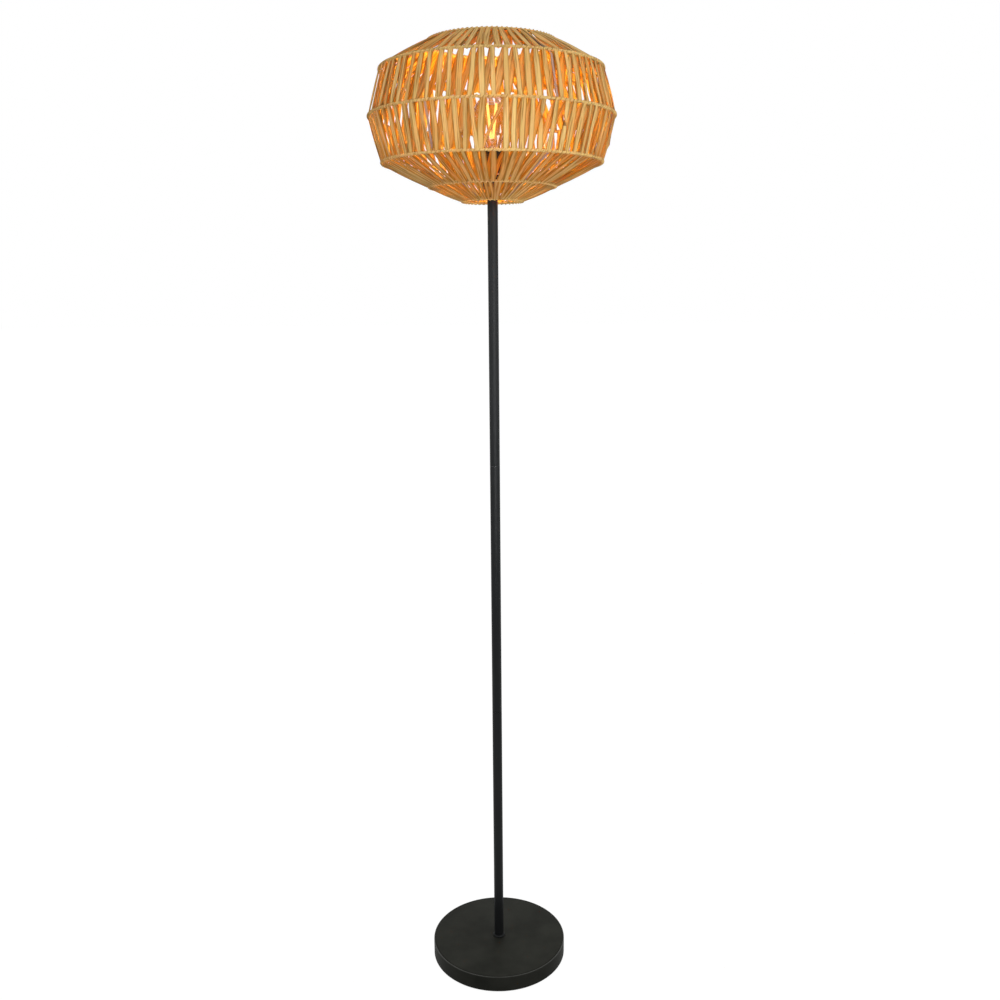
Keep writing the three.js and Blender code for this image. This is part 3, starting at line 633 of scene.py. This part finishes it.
glowing = bpy.data.materials.new("glowing_coating")
glowing.use_nodes = True
tree = glowing.node_tree
shader = tree.nodes["Principled BSDF"]
shader.inputs["Emission Strength"].default_value = 2.4
shader.inputs["Roughness"].default_value = 0.6
shader.inputs["Specular IOR Level"].default_value = 0.0
texture = tree.nodes.new("ShaderNodeGroup")
texture.node_tree = fine_grain
texture.inputs["Scale"].default_value = 4000.0
texture.inputs["Stretch"].default_value = (1, 1, 0.4)
mask = ranged(tree, texture.outputs["Patches"], 0.0, 1.0)
glow = blended(tree, mask, (1.0, 0.4, 0.09), (1.0, 0.46, 0.14))
coating = blended(tree, mask, (0.02, 0.012, 0.004), (0.03, 0.016, 0.005))
tree.links.new(glow, shader.inputs["Emission Color"])
tree.links.new(coating, shader.inputs["Base Color"])
filament_low, filament_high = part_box("filament_1")
filament_length = filament_high.z - filament_low.z
foot_spread, head_spread = 0.00225, 0.0105
stick_radius, crown_wire = 0.002, 0.0005
for i in range(4):
    angle = (i + 0.5) * math.pi / 2
    outwards = Vector((math.cos(angle), math.sin(angle), 0.0))
    stick_path = [
        outwards * (foot_spread + (head_spread - foot_spread) * t)
        + Vector((0, 0, filament_low.z + filament_length * t))
        for t in np.linspace(0.01, 0.99, 9)
    ]
    stick = wire(f"filament_stick_{i + 1}", stick_path, stick_radius, corners=10)
    made(stick, "bulb", "filament", glowing, f"filament_{i + 1}")
crown_low, crown_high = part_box("filament_crown")
crown_height = (crown_low.z + crown_high.z) / 2
crown_outline = [(head_spread + x, crown_height + y) for x, y in circle(crown_wire, 8)]
crown = turned("filament_ring", crown_outline, 48)
made(crown, "bulb", "bulb_nickel", nickel, "filament_crown")
lamp_light = bpy.data.lights.new("filament_light", "POINT")
lamp_light.color = (1.0, 0.57, 0.115)
lamp_light.energy = 6.2
lamp_light.shadow_soft_size = 0.022
lamp = bpy.data.objects.new("filament_light", lamp_light)
lamp.visible_camera = False
lamp.visible_glossy = False
lamp.visible_transmission = False
lamp.location = (0, 0, (filament_low.z + filament_high.z) / 2)
bpy.context.scene.collection.objects.link(lamp)
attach(lamp, "bulb")

# The shade's frame is steel wire with a thin grey coat: a flat fitting that sits on the holder's
# flange, three arms out from it, six rings and six bent ribs welded inside them.
fitter_low, fitter_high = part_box("shade_fitter")
fitter_edge = 0.0006
fitter_outline = [
    (nut_bore, fitter_low.z), (fitter_high.x, fitter_low.z),
    (fitter_high.x, fitter_high.z), (nut_bore, fitter_high.z),
]
fitter = turned("shade_fitting", rounded(fitter_outline, fitter_edge), 72)
wire_grey = coated(
    "grey_wire_coat", (0.33, 0.245, 0.19), (0.42, 0.33, 0.27), (0.4, 0.55), 900.0, 3e-5,
    specular=0.3,
)
made(fitter, "shade", "frame_wire", wire_grey, "shade_fitter")
ring_wire, rib_wire, arm_wire = 0.0015, 0.00175, 0.002
wire_gap, rib_bend = 0.0003, 0.006
arm_start_gap, arm_end_gap, arm_weld, arm_bend = 0.0004, 0.0032, 0.004, 0.012
rings = []
for i in range(6):
    low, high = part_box(f"shade_ring_{i + 1}")
    rings.append(np.array([high.x - ring_wire, (low.z + high.z) / 2]))


def band_direction(band):
    """The way up the side of the shade from a band's lower ring to its upper one."""
    upwards = rings[band] - rings[band + 1]
    return upwards / np.linalg.norm(upwards)


rib_depth = ring_wire + wire_gap + rib_wire
rib_corners = []
for i, ring in enumerate(rings):
    above, below = band_direction(max(i - 1, 0)), band_direction(min(i, 4))
    middle = (above + below) / np.linalg.norm(above + below)
    rib_corners.append(ring + np.array([-middle[1], middle[0]]) * rib_depth / (middle @ above))
rib_line = [rib_corners[0]]
for before, corner, after in zip(rib_corners, rib_corners[1:], rib_corners[2:]):
    first = corner + (before - corner) / np.linalg.norm(before - corner) * rib_bend
    last = corner + (after - corner) / np.linalg.norm(after - corner) * rib_bend
    for t in np.linspace(0, 1, 5):
        rib_line.append((1 - t) ** 2 * first + 2 * t * (1 - t) * corner + t**2 * last)
rib_line.append(rib_corners[-1])
inner = np.array([fitter_high.x, (fitter_low.z + fitter_high.z) / 2])
outer = rib_corners[4]
along = (outer - inner) / np.linalg.norm(outer - inner)
start, stop = inner + along * arm_start_gap, outer - along * arm_end_gap
arm_line = [
    start, start + along * arm_weld, start + along * arm_bend, (start + stop) / 2, stop
]
for kind, count, offset, line, radius in [
    ("rib", 6, 0.0, rib_line, rib_wire), ("arm", 3, math.pi / 3, arm_line, arm_wire)
]:
    for i in range(count):
        angle = i * 2 * math.pi / count + offset
        bent = [(r * math.cos(angle), r * math.sin(angle), z) for r, z in line]
        frame_wire = wire(f"frame_{kind}_{i + 1}", bent, radius)
        made(frame_wire, "shade", "frame_wire", wire_grey, f"shade_{kind}_{i + 1}")

# The shade is wound from flat strand of twisted straw-coloured paper that lets some light through.
# Each ring is lapped with it, and each band then goes up outside and down inside round two
# neighbouring rings. At the front of the third band the straws are pushed apart.
straw = bpy.data.materials.new("straw_strand")
straw.use_nodes = True
tree = straw.node_tree
shader = tree.nodes["Principled BSDF"]
shader.inputs["Specular IOR Level"].default_value = 0.12
marks = {}
for mark in ["place", "tone", "edge"]:
    marks[mark] = tree.nodes.new("ShaderNodeAttribute")
    marks[mark].attribute_name = "strand_" + mark
tone = marks["tone"].outputs["Fac"]
masks = {}
for mask, stretch, detail in [
    ("creases", (0.3, 0.12, 0.012), 3.0),
    ("fibres", (1.1, 0.3, 0.03), 2.0),
    ("streaks", (0.16, 0.05, 0.022), 2.0),
]:
    scaled = tree.nodes.new("ShaderNodeVectorMath")
    scaled.operation = "MULTIPLY"
    scaled.inputs[1].default_value = stretch
    tree.links.new(marks["place"].outputs["Vector"], scaled.inputs[0])
    noise = tree.nodes.new("ShaderNodeTexNoise")
    noise.inputs["Scale"].default_value = 1500.0
    noise.inputs["Detail"].default_value = detail
    tree.links.new(scaled.outputs[0], noise.inputs["Vector"])
    masks[mask] = noise.outputs["Fac"]
straw_base = blended(tree, tone, (0.5, 0.24, 0.025), (0.96, 0.69, 0.25))
pale_straw = blended(tree, tone, (0.66, 0.33, 0.06), (0.97, 0.64, 0.3))
streak = ranged(tree, masks["streaks"], 0.0, 0.5)
fibre = ranged(tree, masks["fibres"], 0.35, 0.0)
# Painted shade: the colour is darkened in the creases' hollows, and so is the light they let
# through.
crease_shade = ranged(tree, masks["creases"], 0.75, 0.0, (0.34, 0.5))
# Painted shade: the colour is darkened along each strand's edges.
painted_edge_shade = ranged(tree, marks["edge"].outputs["Fac"], 0.0, 0.9, (0.6, 1.0))
streaked = blended(tree, streak, straw_base, pale_straw)
fibrous = blended(tree, fibre, streaked, (0.45, 0.27, 0.07))
creased = blended(tree, crease_shade, fibrous, (0.29, 0.13, 0.02))
straw_colour = blended(tree, painted_edge_shade, creased, (0.32, 0.13, 0.015))
straw_rough = ranged(tree, masks["fibres"], 0.62, 0.8)
bumped(tree, masks["creases"], 1e-3, shader)
clear_straw = blended(tree, tone, (1.0, 0.57, 0.06), (0.36, 0.21, 0.05))
through_colour = blended(tree, crease_shade, clear_straw, (0.32, 0.12, 0.01))
through = tree.nodes.new("ShaderNodeBsdfTranslucent")
paper = tree.nodes.new("ShaderNodeMixShader")
paper.inputs[0].default_value = 0.33
for source, target in [
    (straw_colour, shader.inputs["Base Color"]),
    (straw_rough, shader.inputs["Roughness"]),
    (through_colour, through.inputs["Color"]),
    (shader.outputs[0], paper.inputs[1]),
    (through.outputs[0], paper.inputs[2]),
    (paper.outputs[0], tree.nodes["Material Output"].inputs["Surface"]),
]:
    tree.links.new(source, target)

strand_across = np.array([-0.5, -0.37, -0.2, -0.05, 0.13, 0.33, 0.5, 0.28, 0.02, -0.3])
strand_out = np.array([0.0, 0.45, 0.05, 0.5, 0.08, 0.45, 0.0, -0.42, -0.1, -0.4])


def strand(name, path, facing, width, thick, twist, tones, drift, edge_shade):
    """A flat creased strand along a path, with its width, thickness, twist and tone along it."""
    path = np.asarray(path)
    inside = np.abs(strand_across) < 0.45
    across = (strand_across[None, :] + inside[None, :] * drift[:, None]) * width[:, None]
    out = strand_out[None, :] * thick[:, None]
    cosine, sine = np.cos(twist)[:, None], np.sin(twist)[:, None]
    sections = np.stack([across * cosine - out * sine, across * sine + out * cosine], axis=-1)
    steps = np.linalg.norm(np.diff(path, axis=0), axis=1)
    along = np.concatenate([[0.0], np.cumsum(steps)])[:, None]
    # Painted shade: this mark darkens the strand's colour towards its edges.
    edge = 2 * edge_shade * np.abs(strand_across)[None, :]
    return swept(
        name, path, facing, sections,
        strand_place=np.stack([across, out, np.broadcast_to(along, across.shape)], axis=-1),
        strand_tone=np.broadcast_to(np.asarray(tones)[:, None], across.shape),
        strand_edge=np.broadcast_to(edge, across.shape),
    )


random = np.random.default_rng(7)
turns_per_rib, rib_count = 12, 6
turns = turns_per_rib * rib_count
rib_gap = math.radians(1.2)
turn_pitch = (2 * math.pi / rib_count - rib_gap) / turns_per_rib
fold_radius, fold_thickness = 0.0014, 0.0006
leg_shares = [0.0, 0.05, 0.14, 0.27, 0.39, 0.5, 0.61, 0.73, 0.86, 0.95, 1.0]
width_spread, tilt_spread, sway_spread, drift_spread = 0.2, 0.2, 0.0009, 0.1
flip_chance, flip_places, flip_length = 0.03, (0.3, 0.7), 0.3
flip_pinch, pinch_length = 0.35, 0.12
leg_end_thickness, leg_swell, width_swell = 0.0007, 0.0009, 0.55


def turn_angle(turn, share):
    """The azimuth of a turn, counted on past a whole round, at a share of its own space."""
    sector, step = divmod(turn, turns_per_rib)
    return sector * 2 * math.pi / rib_count + rib_gap / 2 + (step + share) * turn_pitch


def band_point(ring, upwards, angle, along, depth):
    """A point by a ring: along is up the band's side from its wire, depth into the shade."""
    radius = ring[0] + upwards[0] * along - upwards[1] * depth
    height = ring[1] + upwards[1] * along + upwards[0] * depth
    return np.array([radius * math.cos(angle), radius * math.sin(angle), height])


def band_facing(upwards, angle, along, depth):
    """The direction that has those shares of the way up the band's side and into the shade."""
    return band_point((0.0, 0.0), upwards, angle, along, depth)


class Strand:
    """Gathers what a long strand is like at each point on its way."""

    def __init__(self):
        self.path, self.facing, self.width, self.thick = [], [], [], []
        self.twist, self.tone, self.drift, self.turned = [], [], [], 0.0

    def put(self, point, facing, width, thick, twist, tone, drift):
        """Adds the strand's next point."""
        for store, value in zip(
            [self.path, self.facing, self.width, self.thick, self.twist, self.tone, self.drift],
            [point, facing, width, thick, twist, tone, drift],
        ):
            store.append(value)

    def piece(self, name, edge_shade):
        """Makes the whole strand, its edges darkened as painted shade by the given amount."""
        values = [np.array(v) for v in (self.width, self.thick, self.twist, self.tone, self.drift)]
        return placed(name, strand(name, self.path, self.facing, *values, edge_shade), 50.0)


def leg(line, start, stop, facing, widths, bulge, tone):
    """One straight run of a strand between two rings, slightly bowed, tilted and creased."""
    middle = widths[1] * random.uniform(1 - width_spread, 1 + width_spread)
    tilt = random.normal(0.0, tilt_spread)
    flip = random.random() < flip_chance
    centre = random.uniform(*flip_places)
    sway = random.normal(0.0, sway_spread)
    drift_start, drift_end = random.uniform(-drift_spread, drift_spread, 2)
    side = np.cross(stop - start, facing)
    side /= np.linalg.norm(side)
    base = line.turned
    for share in leg_shares:
        swell = math.sin(math.pi * share)
        end_width = widths[0] if share < 0.5 else widths[2]
        width = end_width + (middle - end_width) * swell**width_swell
        twist = base + tilt * swell
        if flip:
            turn = min(1.0, max(0.0, (share - centre) / flip_length + 0.5))
            twist += math.pi * turn * turn * (3 - 2 * turn)
            width *= 1 - flip_pinch * math.exp(-(((share - centre) / pinch_length) ** 2))
        point = start + (stop - start) * share + facing * bulge * swell + side * sway * swell
        thick = leg_end_thickness + leg_swell * swell
        drift = drift_start + (drift_end - drift_start) * share
        line.put(point, facing, width, thick, twist, tone, drift)
    if flip:
        line.turned += math.pi


def fold(line, ring, upwards, angle, angles, width, tone):
    """The strand's way over or under a ring's wire."""
    for turn in angles:
        along, depth = math.cos(turn), math.sin(turn)
        point = band_point(ring, upwards, angle, along * fold_radius, depth * fold_radius)
        facing = band_facing(upwards, angle, along, depth)
        line.put(point, facing, width, fold_thickness, line.turned, tone, 0.0)


parting_band, parting_turn, parting_reach, parting_width = 2, 54, 0.045, 0.16
parting_narrowing = 0.3


def parted(turn, share):
    """A turn's azimuth where the straws are pushed apart at the front and show the bulb."""
    angle = turn_angle(turn, share)
    off = angle - 1.5 * math.pi
    return angle + math.copysign(parting_reach, off) * math.exp(-((off / parting_width) ** 2))


# From the top band down: the tones outside and inside, the inside ones darker as painted shade on
# the inner layer, how much of its space a leg fills and how much wider it is inside, and how dark
# its edges are painted as shade.
band_tones = [(0.66, 0.2), (0.76, 0.26), (0.76, 0.26), (0.7, 0.16), (0.66, 0.16)]
band_cover = [(0.86, 1.4), (0.86, 1.4), (0.86, 1.4), (0.7, 1.1), (0.7, 1.1)]
band_edge_shade = [1.0, 1.0, 1.0, 1.15, 1.15]
tone_spread = [0.17, 0.2]
widest_end, widest_leg, end_cover, inner_end = 0.0068, 0.0088, 0.8, 1.15
outer_bulge, inner_bulge, rib_bulge = (-2e-4, 8e-4), (0.0006, 0.0026), 0.0052
wander_share, outer_place_shares = 0.1, (0.75, 0.25)


def wind(band):
    """Winds one band of the shade with a single strand."""
    line = Strand()
    upper, lower = rings[band], rings[band + 1]
    upwards = band_direction(band)
    share = outer_place_shares[band % 2]
    cover, lining = band_cover[band]
    spaces = [turn_pitch * ring[0] for ring in (lower, upper)]
    ends = [min(widest_end, end_cover * space) for space in spaces]
    middle = min(widest_leg, cover * (spaces[0] + spaces[1]) / 2)
    outer_widths = (ends[0], middle, ends[1])
    wander = wander_share * turn_pitch
    place = parted if band == parting_band else turn_angle
    lows = [place(i, share) + random.normal(0.0, wander) for i in range(turns)]
    highs = [place(i, share) + random.normal(0.0, wander) for i in range(turns)]
    for i in reversed(range(turns)):
        tones = np.clip(random.normal(band_tones[band], tone_spread), 0.0, 1.0)
        narrow = parting_narrowing if (band, i) == (parting_band, parting_turn) else 1.0
        inner_widths = (ends[1] * inner_end, middle * narrow * lining, ends[0] * inner_end)
        low_angle, high_angle = lows[i], highs[i]
        next_angle = lows[i - 1] - (2 * math.pi if i == 0 else 0.0)
        start = band_point(lower, upwards, low_angle, 0.0, -fold_radius)
        stop = band_point(upper, upwards, high_angle, 0.0, -fold_radius)
        outwards = band_facing(upwards, (low_angle + high_angle) / 2, 0.0, -1.0)
        leg(line, start, stop, outwards, outer_widths, random.uniform(*outer_bulge), tones[0])
        over = [-math.pi / 4, 0.0, math.pi / 4]
        fold(line, upper, upwards, high_angle, over, ends[1], tones[0])
        start = band_point(upper, upwards, high_angle, 0.0, fold_radius)
        stop = band_point(lower, upwards, next_angle, 0.0, fold_radius)
        inwards = band_facing(upwards, (high_angle + next_angle) / 2, 0.0, 1.0)
        crosses_rib = i % turns_per_rib == 0
        bulge = rib_bulge if crosses_rib else random.uniform(*inner_bulge)
        leg(line, start, stop, inwards, inner_widths, bulge, tones[1])
        under = [3 * math.pi / 4, math.pi, 5 * math.pi / 4]
        fold(line, lower, upwards, next_angle, under, ends[0], tones[1])
    return line.piece(f"wound_band_{band + 1}", band_edge_shade[band])


coil_pitch, coil_overlap, coil_steps = 0.0074, 1.12, 8
lap_radius, lap_offset, lap_thickness = 0.0017, 0.0003, 0.0004
# The laps' edges are darkened as painted shade, less than the legs'.
lap_twist, lap_edge_shade = 0.04, 0.7


def lap(index):
    """Laps one ring's wire with strand, coil beside coil."""
    line = Strand()
    radius, height = rings[index]
    coils = round(2 * math.pi * radius / coil_pitch)
    width = coil_overlap * 2 * math.pi * radius / coils
    wave = random.uniform(0, 2 * math.pi, 3)
    for step in range(coils * coil_steps + 1):
        angle = 2 * math.pi * step / (coils * coil_steps)
        coil = 2 * math.pi * step / coil_steps
        outwards = np.array([math.cos(angle), math.sin(angle), 0.0])
        facing = outwards * math.cos(coil) + np.array([0.0, 0.0, math.sin(coil)])
        bulk = 1 + 0.04 * math.sin(9 * angle + wave[0]) + 0.03 * math.sin(23 * angle + wave[1])
        middle = outwards * (radius + lap_offset) + np.array([0, 0, height])
        tone = 0.88 + 0.08 * math.sin(5 * angle + wave[2]) + 0.04 * math.sin(31 * angle)
        point = middle + facing * lap_radius * bulk
        line.put(point, facing, width, lap_thickness, lap_twist, tone, 0.0)
    return line.piece(f"ring_lapping_{index + 1}", lap_edge_shade)


for index in range(6):
    made(lap(index), "shade", "strand", straw, f"shade_ring_{index + 1}")
for band in range(5):
    made(wind(band), "shade", "strand", straw, f"winding_{band + 1}")

# The lamp stands on a plain white floor, laid flat, that keeps its shadow and runs out to a white
# background.
floor_mesh = bpy.data.meshes.new("studio_floor")
floor_shape = bmesh.new()
bmesh.ops.create_grid(floor_shape, x_segments=8, y_segments=8, size=30.0)
floor_shape.to_mesh(floor_mesh)
floor_shape.free()
floor = bpy.data.objects.new("studio_floor", floor_mesh)
bpy.context.scene.collection.objects.link(floor)


def seen_directly(tree):
    """1 for what the camera, glass or a shiny surface sees of the background, 0 for its light."""
    path = tree.nodes.new("ShaderNodeLightPath")
    result = path.outputs["Is Camera Ray"]
    for kind in ["Is Glossy Ray", "Is Transmission Ray"]:
        either = tree.nodes.new("ShaderNodeMath")
        either.operation = "MAXIMUM"
        tree.links.new(result, either.inputs[0])
        tree.links.new(path.outputs[kind], either.inputs[1])
        result = either.outputs[0]
    return result


white_floor = bpy.data.materials.new("white_floor")
white_floor.use_nodes = True
tree = white_floor.node_tree
tree.nodes.remove(tree.nodes["Principled BSDF"])
matt = tree.nodes.new("ShaderNodeBsdfDiffuse")
matt.inputs["Color"].default_value = (0.32, 0.32, 0.32, 1.0)
white = tree.nodes.new("ShaderNodeEmission")
white.inputs["Strength"].default_value = 1.26
share = tree.nodes.new("ShaderNodeMath")
share.operation = "MULTIPLY"
share.inputs[1].default_value = 0.76
floor_mix = tree.nodes.new("ShaderNodeMixShader")
for source, target in [
    (seen_directly(tree), share.inputs[0]),
    (share.outputs[0], floor_mix.inputs[0]),
    (matt.outputs[0], floor_mix.inputs[1]),
    (white.outputs[0], floor_mix.inputs[2]),
    (floor_mix.outputs[0], tree.nodes["Material Output"].inputs["Surface"]),
]:
    tree.links.new(source, target)
floor_mesh.materials.append(white_floor)

# The studio light is soft: a white world, brighter overhead, and large lamps in front, behind and
# low under the shade, which the camera doesn't see.
world = bpy.data.worlds.new("studio")
bpy.context.scene.world = world
world.use_nodes = True
tree = world.node_tree
background = tree.nodes["Background"]
background.inputs["Color"].default_value = (1.0, 1.0, 1.0, 1.0)
way = tree.nodes.new("ShaderNodeTexCoord")
parts = tree.nodes.new("ShaderNodeSeparateXYZ")
tree.links.new(way.outputs["Generated"], parts.inputs[0])
level = tree.nodes.new("ShaderNodeMapRange")
overhead = ranged(tree, parts.outputs["Z"], 0.26, 1.0, (-0.1, 1.0))
tree.links.new(overhead, level.inputs["To Min"])
level.inputs["To Max"].default_value = 1.0
tree.links.new(seen_directly(tree), level.inputs["Value"])
tree.links.new(level.outputs["Result"], background.inputs["Strength"])
for name, place, aim, power, size, spread in [
    ("key_light", (1.1, -1.2, 1.7), 1.4, 12.2, 0.8, 180),
    ("fill_light", (-1.3, -1.0, 1.6), 1.4, 7.8, 0.8, 180),
    ("low_light", (0.15, -0.8, 1.05), 1.2, 1.5, 0.7, 55),
    ("back_light", (-0.2, 1.5, 1.8), 1.4, 6.5, 0.9, 180),
]:
    light = bpy.data.lights.new(name, "AREA")
    light.energy = power
    light.size = size
    light.spread = math.radians(spread)
    lamp = bpy.data.objects.new(name, light)
    lamp.visible_camera = False
    lamp.visible_transmission = False
    lamp.location = place
    beam = Vector((0, 0, aim)) - Vector(place)
    lamp.rotation_euler = beam.to_track_quat("-Z", "Y").to_euler()
    bpy.context.scene.collection.objects.link(lamp)
bpy.context.scene.view_settings.view_transform = "Standard"
